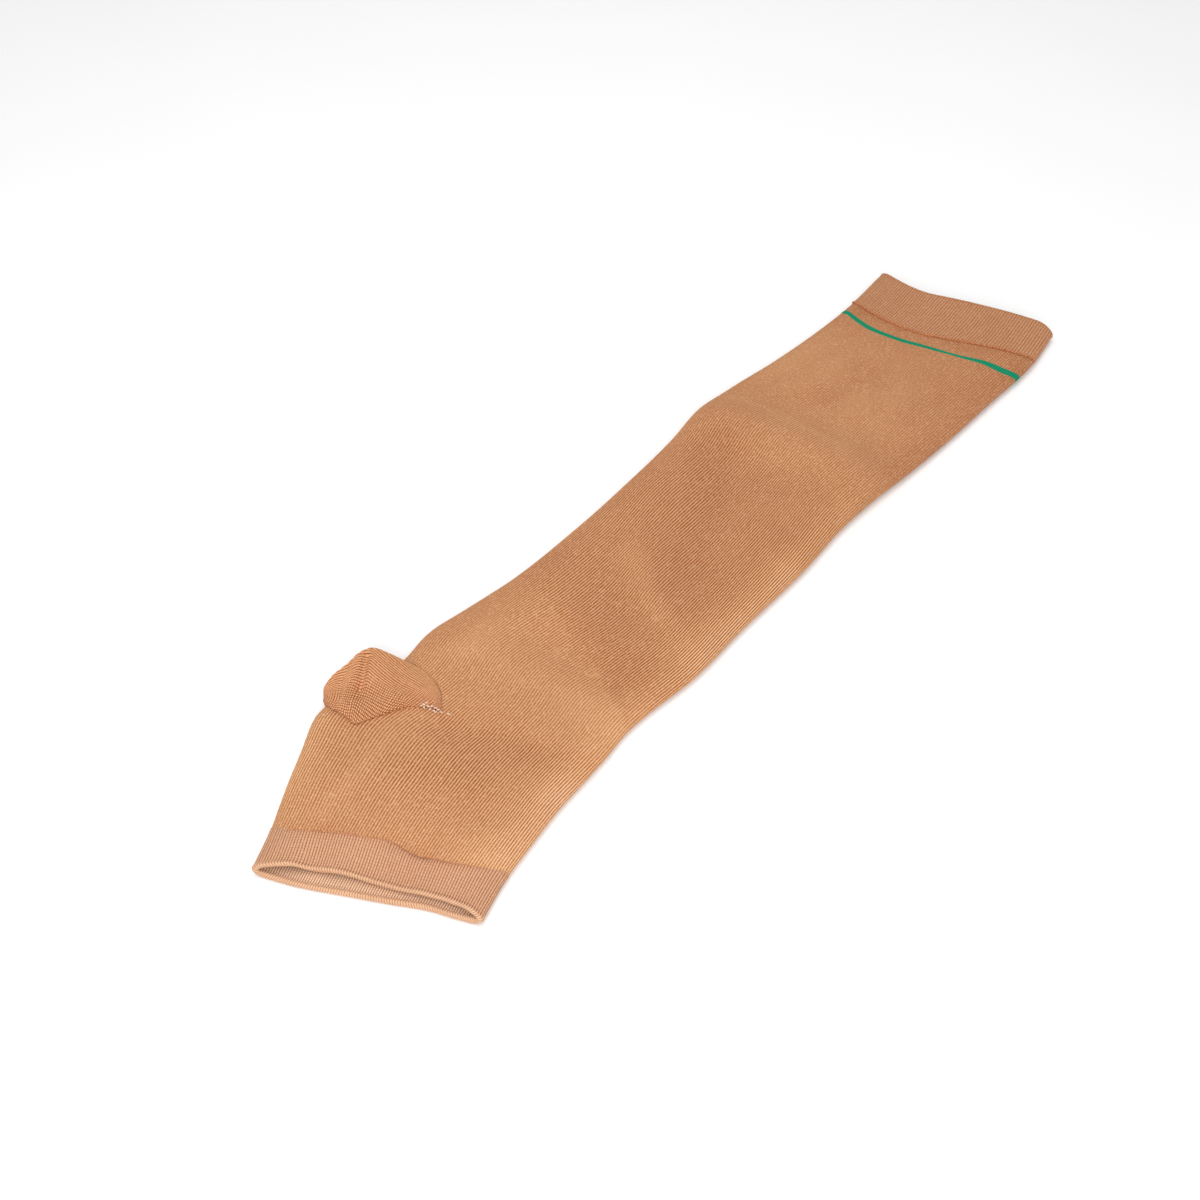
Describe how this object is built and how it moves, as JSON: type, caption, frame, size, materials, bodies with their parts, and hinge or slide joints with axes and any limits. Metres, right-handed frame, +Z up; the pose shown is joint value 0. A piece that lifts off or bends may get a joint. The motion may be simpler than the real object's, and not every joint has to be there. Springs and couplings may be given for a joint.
{
  "type": "leg protector sleeve",
  "caption": "Open-toe knitted sleeve for foot and lower leg, with a heel pocket, ribbed toe cuff and top welt and a coloured marker line, lying flat with its ends open.",
  "frame": {"origin": "middle of the sleeve's footprint, on the surface it lies on", "axes": "+Y up the leg from the toe to the top welt, +X towards the instep and shin side, -X towards the heel and calf side, +Z up from the surface"},
  "size_m": [0.1382, 0.5454, 0.0207],
  "materials": {
    "body_knit": "tan cotton and elastane body knit with fine lengthways ribs, matt with a soft nap",
    "cuff_rib": "tan ribbed cuff knit, double, matt",
    "heel_knit": "tan short-row heel knit with open purl stitches, matt",
    "marker_yarn": "green marker yarn, matt",
    "welt_rib": "tan ribbed welt knit, double, matt"
  },
  "bodies": {
    "root": {"toe_cuff": "cuff_rib", "foot_tube": "body_knit", "heel_pocket": "heel_knit", "leg_tube": "body_knit", "marker_course": "marker_yarn", "upper_band": "body_knit", "top_welt": "welt_rib"}
  },
  "joints": []
}
